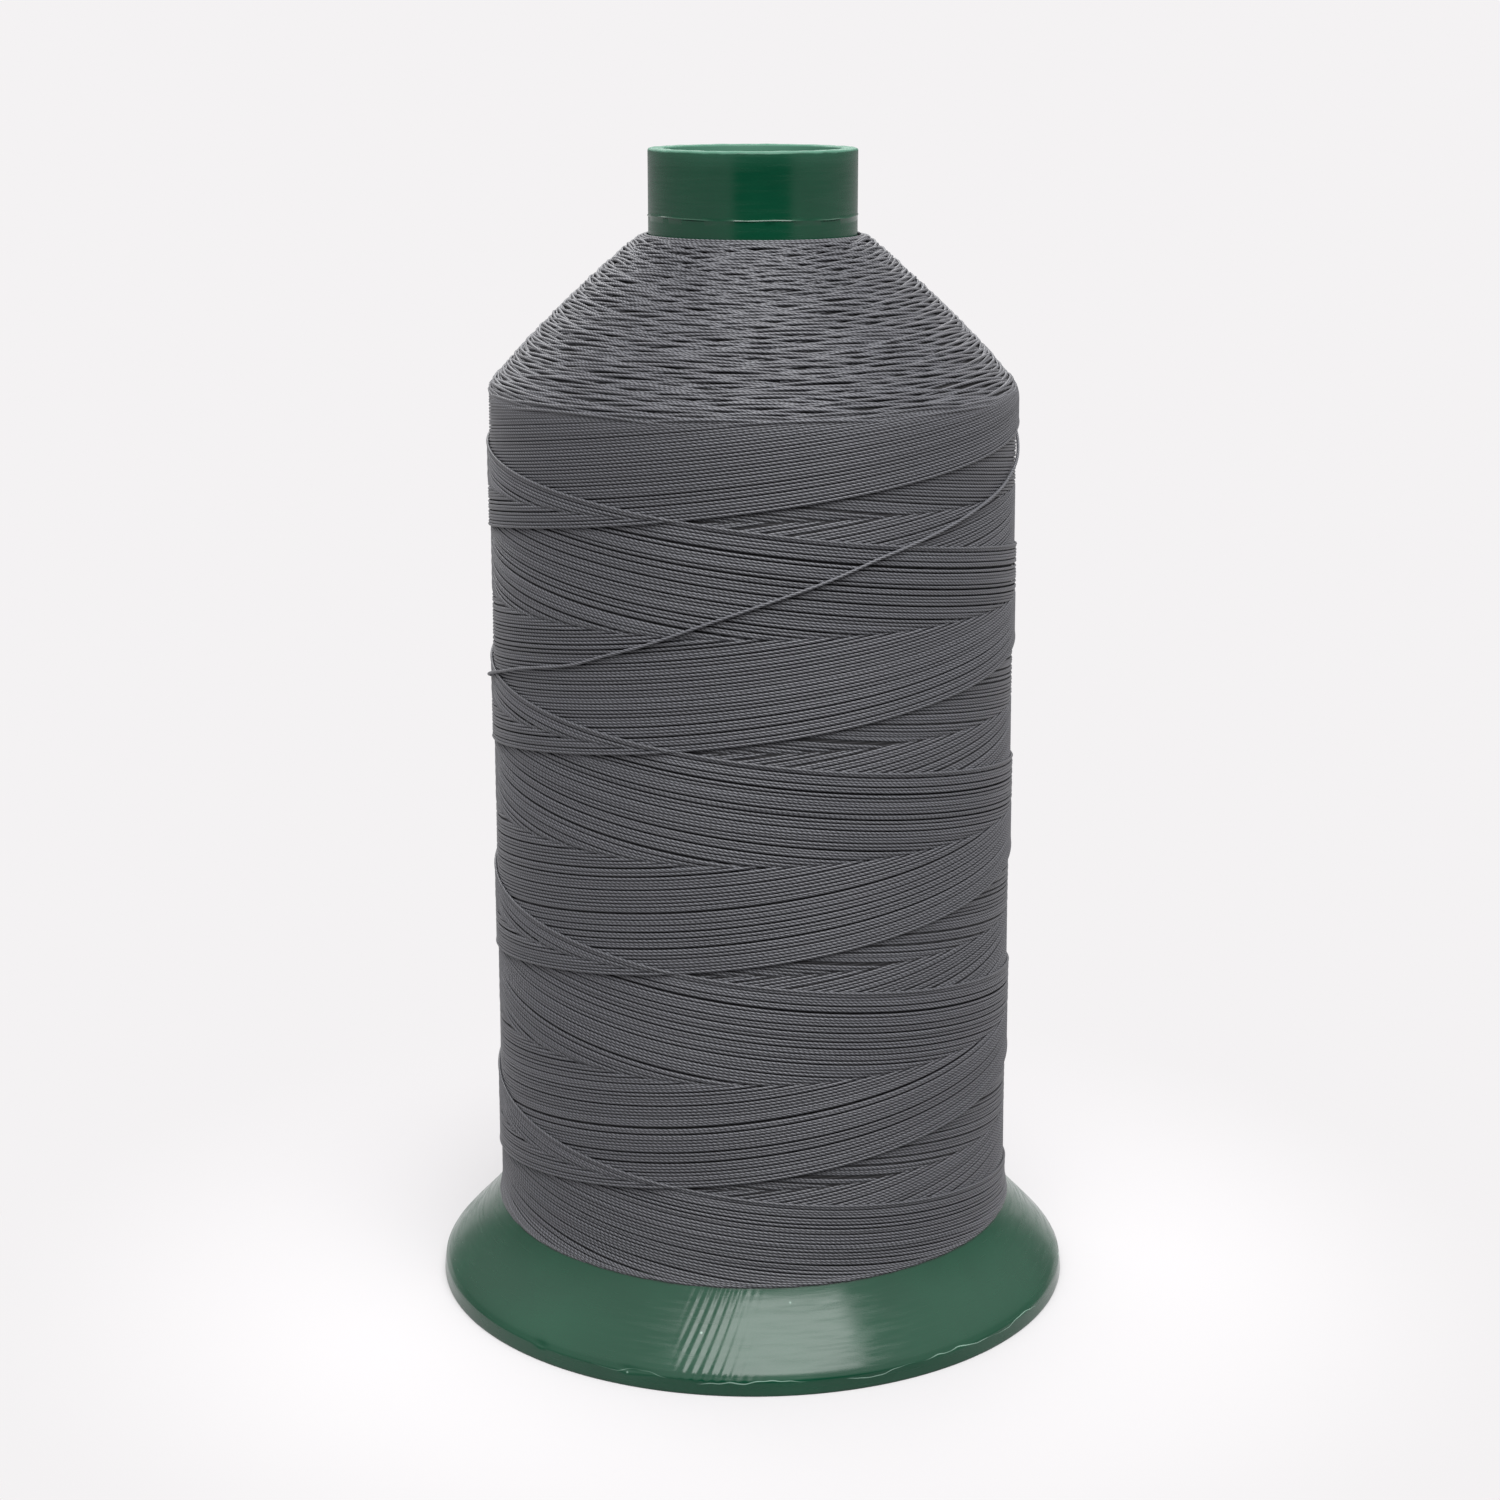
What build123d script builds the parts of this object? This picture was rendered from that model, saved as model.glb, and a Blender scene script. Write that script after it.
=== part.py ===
from build123d import *
from math import atan, cos, degrees, radians, sin, tan
import os

# King spool of sewing thread: a moulded green core with a conical foot, wound with one long thread.
# Frame: millimetres, +Z up the axis, origin at the centre of the face that the foot stands on.

# ---- Core: one moulding, a straight tube that flares into a hollow conical foot ----
spool_height = 152.0  # standing face to the rim of the neck
foot_diameter = 85.8  # across the outer edge of the foot
tube_diameter = 26.8  # outside of the tube, seen as the neck
tube_wall = 2.0
rim_rounding = 0.6  # outer edge of the neck's rim
rim_inner_rounding = 0.4  # mouth of the bore
foot_slope = 52.0  # degrees above level, the cone's outer face
foot_wall = 1.8  # square to the cone
lip_height = 2.1  # upright band round the edge of the foot
lip_lean = 0.2  # the band is this much smaller in radius at its top
lip_width = 1.8  # standing face, measured along the radius
ridge_rounding = 0.3  # top edge of the lip
foot_root_rounding = 4.0  # where the cone turns up into the tube, under the thread
throat_rounding = 3.0  # the same turn on the hollow side

# ---- Thread: one continuous strand, wound into a package on the core ----
thread_diameter = 0.42
package_diameter = 69.3  # over the windings, just under the shoulder
package_flare = 0.9  # the windings are this much wider where they meet the foot
neck_showing = 10.6  # bare tube above the windings
top_shelf = 1.25  # level turns against the tube
top_slope = 44.0  # degrees below level, from the shelf to the shoulder
top_crown = 0.6  # how far the sloping top bulges above a straight cone
shoulder_rounding = 4.0

# ---- Last strand: the final stretch of thread, lying steeply over the other windings ----
strand_below_shoulder = 3.6  # its upper end joins the turns this far under the shoulder
strand_rise = 33.0  # from where it leaves the windings that run beside it
strand_start_angle = -166.5  # degrees about +Z from +X, anticlockwise seen from above
strand_lead = 64.0  # climb in one full turn
strand_sides = 12  # narrow flats stand for the round of so fine a thread
strand_clearance = 0.02  # between the strand and the windings that it lies on

# ---- Worked out from the sizes above ----
foot_radius = foot_diameter / 2
tube_radius = tube_diameter / 2
bore_radius = tube_radius - tube_wall
ridge_radius = foot_radius - lip_lean
cone_rise = tan(radians(foot_slope))  # height gained for each millimetre inwards
tube_root_height = lip_height + (ridge_radius - tube_radius) * cone_rise
inner_cone_shift = foot_wall / sin(radians(foot_slope))


def cone_height(radius):
    """Height of the foot's outer cone at a radius."""
    return lip_height + (ridge_radius - radius) * cone_rise


def hollow_height(radius):
    """Height of the hollow's cone under the foot at a radius."""
    return lip_height + (ridge_radius - inner_cone_shift - radius) * cone_rise


def round_corner(profile, radius, height, rounding):
    """Round the corner of a profile that lies nearest to this radius and height."""
    corner = profile.vertices().sort_by_distance((radius, height))[0]
    fillet(corner, rounding)


package_top = spool_height - neck_showing
shelf_radius = tube_radius + top_shelf
shoulder_radius = package_diameter / 2
hem_radius = shoulder_radius + package_flare / 2
shoulder_height = package_top - (shoulder_radius - shelf_radius) * tan(radians(top_slope))
hem_height = cone_height(hem_radius)
strand_start_height = shoulder_height - strand_below_shoulder - strand_rise
side_taper = degrees(atan((hem_radius - shoulder_radius) / (shoulder_height - hem_height)))

os.makedirs("parts", exist_ok=True)

# The core's outer skin, filled: the core is cut from it and the windings are laid on it.
with BuildPart() as core_outside:
    with BuildSketch(Plane.XZ) as outside_profile:
        with BuildLine():
            Polyline(
                (0, 0),
                (foot_radius, 0),
                (ridge_radius, lip_height),
                (tube_radius, tube_root_height),
                (tube_radius, spool_height),
                (0, spool_height),
                close=True,
            )
        make_face()
        round_corner(outside_profile, tube_radius, tube_root_height, foot_root_rounding)
        round_corner(outside_profile, ridge_radius, lip_height, ridge_rounding)
        round_corner(outside_profile, tube_radius, spool_height, rim_rounding)
    revolve(axis=Axis.Z)

# Core: the skin with its bore and the hollow under the foot taken out.
with BuildPart() as core:
    add(core_outside.part)
    with BuildSketch(Plane.XZ) as hollow_profile:
        throat_height = hollow_height(bore_radius)
        lip_inside = foot_radius - lip_width
        with BuildLine():
            Polyline(
                (0, 0),
                (lip_inside, 0),
                (lip_inside, hollow_height(lip_inside)),
                (bore_radius, throat_height),
                (bore_radius, spool_height),
                (0, spool_height),
                close=True,
            )
        make_face()
        round_corner(hollow_profile, bore_radius, throat_height, throat_rounding)
    revolve(axis=Axis.Z, mode=Mode.SUBTRACT)
    mouth = core.edges().filter_by(GeomType.CIRCLE).group_by(Axis.Z)[-1].sort_by(SortBy.RADIUS)[0]
    fillet(mouth, rim_inner_rounding)
core.part.label = "core"
export_step(core.part, "parts/core.step")

# Thread package: fills the space round the tube, from the foot's cone up to the neck.
with BuildPart() as thread_package:
    with BuildSketch(Plane.XZ) as package_profile:
        shoulder_point = Vector(shoulder_radius, shoulder_height)
        shelf_point = Vector(shelf_radius, package_top)
        outwards = Vector(sin(radians(top_slope)), cos(radians(top_slope)))
        crown_point = (shoulder_point + shelf_point) / 2 + outwards * top_crown
        with BuildLine():
            Polyline((0, hem_height), (hem_radius, hem_height), shoulder_point)
            ThreePointArc(shoulder_point, crown_point, shelf_point)
            Polyline(shelf_point, (0, package_top), (0, hem_height))
        make_face()
        round_corner(package_profile, shoulder_radius, shoulder_height, shoulder_rounding)
    revolve(axis=Axis.Z)
    add(core_outside.part, mode=Mode.SUBTRACT)
thread_package.part.label = "thread_package"
export_step(thread_package.part, "parts/thread_package.step")

# Last strand: a helix that lies on the package's side all along.
with BuildPart() as last_strand:
    strand_base_radius = hem_radius - (strand_start_height - hem_height) * tan(radians(side_taper))
    climb = Helix(
        pitch=strand_lead,
        height=strand_rise,
        radius=strand_base_radius + strand_clearance + thread_diameter / 2,
        center=(0, 0, strand_start_height),
        cone_angle=-side_taper,
        mode=Mode.PRIVATE,
    )
    with BuildLine() as strand_path:
        add(climb.rotate(Axis.Z, strand_start_angle))
    route = strand_path.line
    first_point = route @ 0
    with BuildSketch(
        Plane(origin=first_point, x_dir=(first_point.X, first_point.Y, 0), z_dir=route % 0)
    ):
        RegularPolygon(thread_diameter / 2, strand_sides)
    sweep(is_frenet=True)
last_strand.part.label = "last_strand"
export_step(last_strand.part, "parts/last_strand.step")
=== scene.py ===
"""Spool of sewing thread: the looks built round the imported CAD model, laid out as an add-on.

Sizes in the property groups are millimetres on the real object; everything built is in metres.
"""
import math
from functools import partial

import bpy
import numpy as np
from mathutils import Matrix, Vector, geometry


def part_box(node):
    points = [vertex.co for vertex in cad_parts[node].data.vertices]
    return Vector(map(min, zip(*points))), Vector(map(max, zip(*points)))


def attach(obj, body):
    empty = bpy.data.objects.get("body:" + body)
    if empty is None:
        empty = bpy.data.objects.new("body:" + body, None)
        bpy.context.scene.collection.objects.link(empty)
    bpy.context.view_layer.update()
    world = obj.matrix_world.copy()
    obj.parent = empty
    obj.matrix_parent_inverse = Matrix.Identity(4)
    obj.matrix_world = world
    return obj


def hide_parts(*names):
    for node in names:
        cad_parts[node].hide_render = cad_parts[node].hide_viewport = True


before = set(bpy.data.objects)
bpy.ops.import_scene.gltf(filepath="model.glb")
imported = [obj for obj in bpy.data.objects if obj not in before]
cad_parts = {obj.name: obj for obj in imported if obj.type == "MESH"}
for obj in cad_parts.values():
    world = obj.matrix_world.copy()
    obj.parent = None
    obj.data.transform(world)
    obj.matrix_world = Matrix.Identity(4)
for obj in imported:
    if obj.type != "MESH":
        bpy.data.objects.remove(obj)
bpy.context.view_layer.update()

bl_info = {
    "name": "Spool of Thread",
    "version": (1, 0, 0),
    "blender": (4, 5, 0),
    "location": "View3D > Sidebar > Spool",
    "description": "Builds a cross-wound spool of bonded thread on a moulded core, and its studio",
    "category": "Object",
}

MM = 0.001
TURN = 2 * math.pi
BODY = "root"

MATH = "ShaderNodeMath"
VECTOR = "ShaderNodeVectorMath"
RANGE = "ShaderNodeMapRange"
MIX = "ShaderNodeMix"
RAMP = "ShaderNodeValToRGB"
NOISE = "ShaderNodeTexNoise"
PLACE = "ShaderNodeTexCoord"
SPLIT = "ShaderNodeSeparateXYZ"
SMOOTH = {"interpolation_type": "SMOOTHSTEP"}
COLOUR = {"out": 2, "data_type": "RGBA"}  # a Mix node that mixes colours, and its output

# Nicks in the lip: where in degrees about +Z from +X, half-width in degrees, and depth in mm
LIP_NICKS = ((-112, 5.0, 0.22), (-130, 1.5, 0.25), (-98, 1.2, 0.1), (35, 2.0, 0.2), (140, 3.0, 0.18))

# Winding
PLIES = 3
LAID_WIDTH = 0.94  # the windings are drawn this much thinner, so a dark line shows between them
LOW_CORNER = 0.45  # the stroke turns back more sharply at its foot, as a share of the upper corner
PACKAGE_RADIUS = 35.0  # mm, for the number of segments in a turn
TIGHT_FROM, TIGHT_OVER = 107.0, 9.0  # mm: above this height the turns are drawn up even, over this rise
CLEAR = 0.02  # mm under the package's skin, so that no thread stands out of it

# Sloping top: turn-backs of the strokes, each a short arc
TOP_STROKES = 1000
TOP_REACH = 27.0  # degrees each side of the turn-back
TOP_CORNER = 0.42  # radians, as the corner of a stroke
TOP_SLOPE = 44.0  # degrees below level
GOLDEN = 0.381966  # of a turn between one turn-back and the next, which spreads them evenly
SHELF = 1.25  # mm of level turns against the neck

# Area lamps: name, width and depth in m, energy in W, place, and the height that each is aimed at
LAMPS = (
    ("overhead_softbox", 0.56, 0.50, 4.85, (0.07, -0.31, 0.60), 0.06),
    ("rear_fill", 0.8, 0.5, 3.0, (-0.15, 0.60, 0.55), 0.07),
)
OPENING = (0.182, -0.983, 0.0)  # which way the white tent's dark opening lies


# ---------------------------------------------------------------- sizes and colours
def size(name, description, default, unit="NONE"):
    """A size that a user may change, in millimetres unless its description says otherwise."""
    return bpy.props.FloatProperty(
        name=name, description=description, default=default, min=0.0, unit=unit
    )


def count(name, description, default):
    return bpy.props.IntProperty(name=name, description=description, default=default, min=1)


def hue(name, description, default):
    """A colour kept as an sRGB hex string, such as 1f5a3a."""
    return bpy.props.StringProperty(name=name, description=description, default=default)


class CoreSettings(bpy.types.PropertyGroup):
    tube_radius: size("Tube radius", "Outside of the tube, mm", 13.4)
    bore_radius: size("Bore radius", "Inside of the tube, mm", 11.4)
    lip_height: size("Lip height", "Upright band round the foot's edge, mm", 2.1)
    lip_lean: size("Lip lean", "How much smaller the band is at its top, mm", 0.2)
    lip_width: size("Lip width", "Standing face, mm along the radius", 1.8)
    foot_slope: size("Foot slope", "Cone's outer face, degrees above level", 52.0)
    cone_sink: size("Cone sink", "How far the cone's flank sinks between its ends, mm", 0.65)
    foot_wall: size("Foot wall", "Thickness square to the cone, mm", 1.8)
    root_rounding: size("Root rounding", "Cone into tube, mm", 4.0)
    throat_rounding: size("Throat rounding", "The same turn on the hollow side, mm", 3.0)
    rim_rounding: size("Rim rounding", "Outer edge of the neck, mm", 0.35)
    mouth_rounding: size("Mouth rounding", "Inner edge of the neck, mm", 0.3)
    flash_below_rim: size("Flash height", "Parting line below the rim, mm", 8.4)
    flash_stand: size("Flash stand", "How far the parting line stands out, mm", 0.13)
    around: count("Steps", "Points round the moulding", 384)
    plastic: hue("Plastic", "Moulded green", "073d29")
    worn: hue("Worn plastic", "Rubbed and stress-whitened green", "9fbfb0")
    # the rim tint is partly rubbed wear, partly painted glow and painted highlight of the lit thin rim
    rim_glow_and_rub_tint: hue("Rim tint", "Pale see-through green of the thin rim", "6fae94")


class ThreadSettings(bpy.types.PropertyGroup):
    diameter: size("Thread", "Thread diameter, mm", 0.42)
    lead: size("Lead", "Climb of the winding in one turn, mm", 28.5)
    passes: count("Passes", "Passes that cover the package once", 67)
    turns: count("Turns", "Turns from one end of the stroke to the other", 4)
    stroke_top: size("Stroke top", "Height of the stroke's sharp upper corner, mm", 124.0)
    corner: size("Corner", "Half-angle over which the stroke turns back", 0.4, "ROTATION")
    newest_angle: size("Newest turn-back", "Degrees round from +X of the last turn-back", 74.0)
    packing: size("Packing", "Rise of one layer as a share of the diameter", 0.72)
    step: size("Step", "Length of one segment of a laid thread, mm", 1.5)
    sides: count("Sides", "Faces round a laid thread", 6)
    lay: size("Lay", "Length of one full twist of the three plies, mm", 2.0)
    colour: hue("Thread colour", "Dyed grey", "66676c")
    # the gap colour is painted shade in the grooves between the plies
    ply_gap_shade_colour: hue("Gap colour", "Between the plies", "222225")
    # painted shade of the lower layers: darker between their threads, less dark on them
    shaded_under_gap: hue("Lower layers, dark", "Between the threads of the lower layers", "1c1c1e")
    shaded_under_turn: hue("Lower layers, light", "On the threads of the lower layers", "3a3a3d")
    seed: count("Seed", "Random seed of the winding's unevenness", 7)


class StageSettings(bpy.types.PropertyGroup):
    distance: size("Camera distance", "Heights of the spool from its axis", 2.398)
    height: size("Camera height", "Heights of the spool above the floor", 1.0904)
    tilt: size("Camera tilt", "Degrees below level", 14.28)
    lens: size("Lens", "Focal length on a 36 mm sensor, mm", 67.35)
    aside: size("Aside", "Camera's shift to the left, in spool heights", 0.0024)
    floor: hue("Floor", "Pale paper under the spool", "c9c8c9")
    bounce: hue("Floor bounce", "How light the floor is to the light it throws back", "525252")
    paper: hue("Backdrop", "Pale paper all round", "f4f2f3")


# The last strand's way over the other windings: degrees about +Z from +X, and height in mm
STRAND_ROUTE = (
    (-196, 81.6), (-184, 82.7), (-174.5, 84.2), (-165, 85.7), (-155.7, 87.1), (-149, 88.2),
    (-134, 90.0), (-129.3, 90.6), (-123.3, 92.0), (-112.9, 94.0), (-105.3, 95.8), (-98.1, 97.5),
    (-88.9, 99.5), (-74.4, 102.4), (-62.9, 104.9), (-54.4, 106.1), (-44.5, 107.6), (-35.2, 109.1),
    (-28.9, 110.0), (-21.6, 111.1), (-15, 112.4), (-5, 114.5), (10, 117.2), (28, 119.3),
)


# ---------------------------------------------------------------- helpers
def linear(hexa):
    """An sRGB hex colour as linear RGBA."""
    parts = [int(hexa[i : i + 2], 16) / 255 for i in (0, 2, 4)]
    flat = [c / 12.92 if c <= 0.04045 else ((c + 0.055) / 1.055) ** 2.4 for c in parts]
    return (*flat, 1.0)


def node(tree, kind, links=None, out=0, stops=(), **settings):
    """Add a shader node, set it, link what feeds it, and give back one of its outputs.

    A setting that is one of the node's properties sets that, and any other sets the value of the input
    it names. An input's name has underscores for spaces, or is in0, in1 for its place. out is the name
    or place of the output, and stops are the (place, linear colour) pairs of a ramp.
    """
    made = tree.nodes.new(kind)
    for key, value in settings.items():
        if hasattr(made, key):
            setattr(made, key, value)
    inputs = {s.name.replace(" ", "_"): s for s in reversed(made.inputs)}
    inputs.update({f"in{i}": s for i, s in enumerate(made.inputs)})
    for key, value in settings.items():
        if not hasattr(made, key):
            inputs[key].default_value = value
    for number, (place, colour) in enumerate(stops):
        made.color_ramp.elements[number].position = place
        made.color_ramp.elements[number].color = colour
    for key, source in (links or {}).items():
        tree.links.new(source, inputs[key])
    return made.outputs[out]


def material(name):
    """A new material with an empty node tree and its surface shader."""
    made = bpy.data.materials.new(name)
    made.use_nodes = True
    tree = made.node_tree
    tree.nodes.clear()
    shader = tree.nodes.new("ShaderNodeBsdfPrincipled")
    out = tree.nodes.new("ShaderNodeOutputMaterial")
    tree.links.new(shader.outputs[0], out.inputs["Surface"])
    return made, tree, shader


def deselect():
    if bpy.context.object and bpy.context.object.mode != "OBJECT":
        bpy.ops.object.mode_set(mode="OBJECT")
    bpy.ops.object.select_all(action="DESELECT")


def finish_piece(piece, name, skin, replaces=()):
    """Name a finished piece, give it its material and tie it to the frame."""
    piece.name = name
    piece.data.name = name
    piece.data.materials.clear()
    piece.data.materials.append(skin)
    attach(piece, BODY)
    if replaces:
        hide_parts(*replaces)
    return piece


def turned(outline, around):
    """A closed lathe-turned piece from an outline of (radius, height) in millimetres.

    A circle is added at the first point and extruded and resized up the outline, and the last ring meets
    the first.
    """
    deselect()
    radius, height = outline[0]
    bpy.ops.mesh.primitive_circle_add(
        vertices=around, radius=radius * MM, location=(0, 0, height * MM), fill_type="NOTHING"
    )
    piece = bpy.context.object
    bpy.ops.object.transform_apply(location=True, rotation=True, scale=True)
    bpy.ops.object.mode_set(mode="EDIT")
    bpy.ops.mesh.select_all(action="SELECT")
    for (r0, z0), (r1, z1) in zip(outline, outline[1:] + outline[:1]):
        bpy.ops.mesh.extrude_region_move(TRANSFORM_OT_translate={"value": (0, 0, (z1 - z0) * MM)})
        wider = r1 / r0
        bpy.ops.transform.resize(value=(wider, wider, 1), center_override=(0, 0, z1 * MM))
    bpy.ops.mesh.select_all(action="SELECT")
    bpy.ops.mesh.remove_doubles(threshold=0.002 * MM)
    bpy.ops.mesh.normals_make_consistent(inside=False)
    bpy.ops.object.mode_set(mode="OBJECT")
    return piece


def arc(centre, radius, start, end, steps):
    """Points of a round corner of an outline, angles in degrees."""
    angles = np.radians(np.linspace(start, end, steps))
    return [(centre[0] + radius * math.cos(a), centre[1] + radius * math.sin(a)) for a in angles]


def straight(first, last, step):
    """Points from first up to but not including last, about a step apart."""
    pieces = max(1, round(math.dist(first, last) / step))
    across, up = last[0] - first[0], last[1] - first[1]
    return [(first[0] + across * i / pieces, first[1] + up * i / pieces) for i in range(pieces)]


def smooth_by_angle(piece, degrees):
    """Shade a piece smooth, with its sharper edges kept."""
    deselect()
    piece.select_set(True)
    bpy.context.view_layer.objects.active = piece
    bpy.ops.object.shade_smooth_by_angle(angle=math.radians(degrees))


def cone_height(core, edge, radius):
    """Height at a radius of the foot's straight cone, whose edge has this radius at the lip's top."""
    return core.lip_height + (edge - radius) * math.tan(math.radians(core.foot_slope))


# ---------------------------------------------------------------- the package's outer skin
def package_skin():
    """Radius and height of the wound package's outer skin in mm, from the hem up to the neck."""
    points = [(v.co.xy.length, v.co.z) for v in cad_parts["thread_package"].data.vertices]
    hull = geometry.convex_hull_2d([Vector(p) for p in points])
    skin = np.array([points[i] for i in hull]) / MM
    hem = skin[skin[:, 0].argmax()]
    top = skin[skin[:, 1] > skin[:, 1].max() - 1e-3]
    shelf = top[top[:, 0].argmax()]
    chord = np.interp(skin[:, 1], [hem[1], shelf[1]], [hem[0], shelf[0]])
    skin = skin[(skin[:, 1] >= hem[1] - 1e-3) & (skin[:, 0] > chord - 1e-3)]
    # the lowest turns bulge a little where they are pressed on to the foot, and tuck in under the bulge
    pressed = [
        (hem[0] + 0.08, hem[1] - 1.0), (hem[0] + 0.42, hem[1] - 0.66), (hem[0] + 0.02, hem[1] + 1.6)
    ]
    skin = np.vstack([skin[skin[:, 1] > hem[1] + 1e-3], pressed])
    return skin[np.argsort(skin[:, 1])]


SKIN = package_skin()
DOWN = SKIN[::-1]
MARKS = np.concatenate([[0], np.cumsum(np.hypot(*np.diff(DOWN, axis=0).T))])  # mm down from the neck


def skin_at(distance):
    """Radius and height of the skin at a distance down it from the neck."""
    return np.interp(distance, MARKS, DOWN[:, 0]), np.interp(distance, MARKS, DOWN[:, 1])


def distance_at(height):
    """Distance down the skin from the neck at a height."""
    return np.interp(-height, -DOWN[:, 1], MARKS)


def along_skin(distance, depth):
    """Radius, height and the outward normal at a distance down the skin from the neck, at a depth."""
    distance = np.clip(distance, 0, MARKS[-1])
    radius, height = skin_at(distance)
    (lower_r, lower_z), (upper_r, upper_z) = skin_at(distance + 0.6), skin_at(distance - 0.6)
    ahead_r, ahead_z = lower_r - upper_r, lower_z - upper_z
    length = np.hypot(ahead_r, ahead_z)
    out_r, out_z = -ahead_z / length, ahead_r / length
    return radius - out_r * depth, height - out_z * depth, out_r, out_z


# ---------------------------------------------------------------- laying thread
def lay_threads(name, runs, radius, sides, lay=0.0):
    """One mesh of closed tubes in millimetres, one along each run.

    A run is its points, their outward normals, the length of thread before it and its shade. The UV map
    holds the length along the thread and the share of the way round it, and a face attribute holds the
    shade. With a lay, the twisted plies are modelled as lobes.
    """
    verts, faces, uvs, shades, ends = [], [], [], [], []
    base = 0
    angles = np.arange(sides) * TURN / sides
    for points, normals, offset, shade in runs:
        n = len(points)
        tangent = np.gradient(points, axis=0)
        tangent /= np.linalg.norm(tangent, axis=1)[:, None]
        side = np.cross(tangent, normals)
        side /= np.linalg.norm(side, axis=1)[:, None]
        out = np.cross(side, tangent)
        turn = angles[None, :, None]
        ring = np.cos(turn) * out[:, None] + np.sin(turn) * side[:, None]
        steps = np.linalg.norm(np.diff(points, axis=0), axis=1)
        length = offset + np.concatenate([[0], np.cumsum(steps)])
        reach = np.full((n, sides), radius)
        if lay:
            twist = PLIES * (TURN * length[:, None] / lay - angles[None, :])
            reach -= radius * 0.10 * (1 + np.cos(twist))
        verts.append((points[:, None] + ring * reach[:, :, None]).reshape(-1, 3))
        i, j = np.meshgrid(np.arange(n - 1), np.arange(sides), indexing="ij")
        beside = (j + 1) % sides
        near, far = base + i * sides, base + (i + 1) * sides
        quad = np.stack([near + j, near + beside, far + beside, far + j], -1)
        faces.append(quad.reshape(-1, 4))
        u0, u1 = length[i], length[i + 1]
        v0, v1 = j / sides, (j + 1) / sides
        uvs.append(np.stack([u0, v0, u0, v1, u1, v1, u1, v0], -1).reshape(-1, 2))
        shades.append(np.full((n - 1) * sides, shade))
        first_ring, last_ring = base + np.arange(sides), base + (n - 1) * sides + np.arange(sides)
        ends += [first_ring[::-1], last_ring]
        base += n * sides
    faces = np.concatenate(faces)
    loops = np.concatenate([faces.ravel(), np.array(ends).ravel()])
    starts = np.concatenate([np.arange(len(faces)) * 4, len(faces) * 4 + np.arange(len(ends)) * sides])
    mesh = bpy.data.meshes.new(name)
    mesh.vertices.add(base)
    mesh.vertices.foreach_set("co", (np.concatenate(verts) * MM).ravel())
    mesh.loops.add(len(loops))
    mesh.loops.foreach_set("vertex_index", loops)
    mesh.polygons.add(len(starts))
    mesh.polygons.foreach_set("loop_start", starts)
    mesh.update(calc_edges=True)
    flat = np.zeros((len(loops), 2))
    flat[: len(faces) * 4] = np.concatenate(uvs)
    mesh.uv_layers.new(name="along_thread").uv.foreach_set("vector", flat.ravel())
    values = np.full(len(starts), 0.5)
    values[: len(faces)] = np.concatenate(shades)
    mesh.attributes.new("run_shade", "FLOAT", "FACE").data.foreach_set("value", values)
    mesh.polygons.foreach_set("use_smooth", np.ones(len(starts), bool))
    mesh.validate()
    piece = bpy.data.objects.new(name, mesh)
    bpy.context.scene.collection.objects.link(piece)
    return piece


def on_package(angle, distance, depth):
    """Points and outward normals on the package, from angles, distances down the skin and depths."""
    radius, height, out_r, out_z = along_skin(distance, depth)
    points = np.stack([radius * np.cos(angle), radius * np.sin(angle), height], -1)
    normals = np.stack([out_r * np.cos(angle), out_r * np.sin(angle), out_z], -1)
    return points, normals


def drift(rng, waves, amplitude):
    """A slow random wander along a run, as a function of its position."""
    phases = rng.uniform(0, TURN, waves)
    rates = rng.uniform(0.4, 1.0, waves) * np.arange(1, waves + 1) / 2
    sizes = rng.normal(0, 1, waves) / np.arange(1, waves + 1)
    return lambda x: amplitude * sum(s * np.sin(x * r + p) for s, r, p in zip(sizes, rates, phases))


def stroke_ends(thread):
    """Heights of the stroke's corners, were they sharp, and its climb in a radian."""
    top = thread.stroke_top
    return top, top - thread.turns * thread.lead, thread.lead / TURN


def handover(share):
    """0 in the upper part of a stroke and 1 in the lower, changing over in its middle fifth."""
    return np.clip((share - 0.4) / 0.2, 0, 1)


def pass_numbers(thread, angle, height):
    """Which rising and which falling pass lies at a place, counted back from the newest."""
    top, bottom, climb = stroke_ends(thread)
    half = thread.turns * TURN
    low_corner = LOW_CORNER * thread.corner
    from_top = np.sqrt(np.maximum(((top - height) / climb) ** 2 - thread.corner**2, 0))
    from_low = half - np.sqrt(np.maximum(((height - bottom) / climb) ** 2 - low_corner**2, 0))
    blend = handover(from_top / half)
    swept = from_top * (1 - blend) + from_low * blend
    shift = TURN / thread.passes
    back = math.radians(thread.newest_angle) - angle
    return ((back - swept) / shift) % thread.passes, ((back + swept) / shift) % thread.passes


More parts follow.
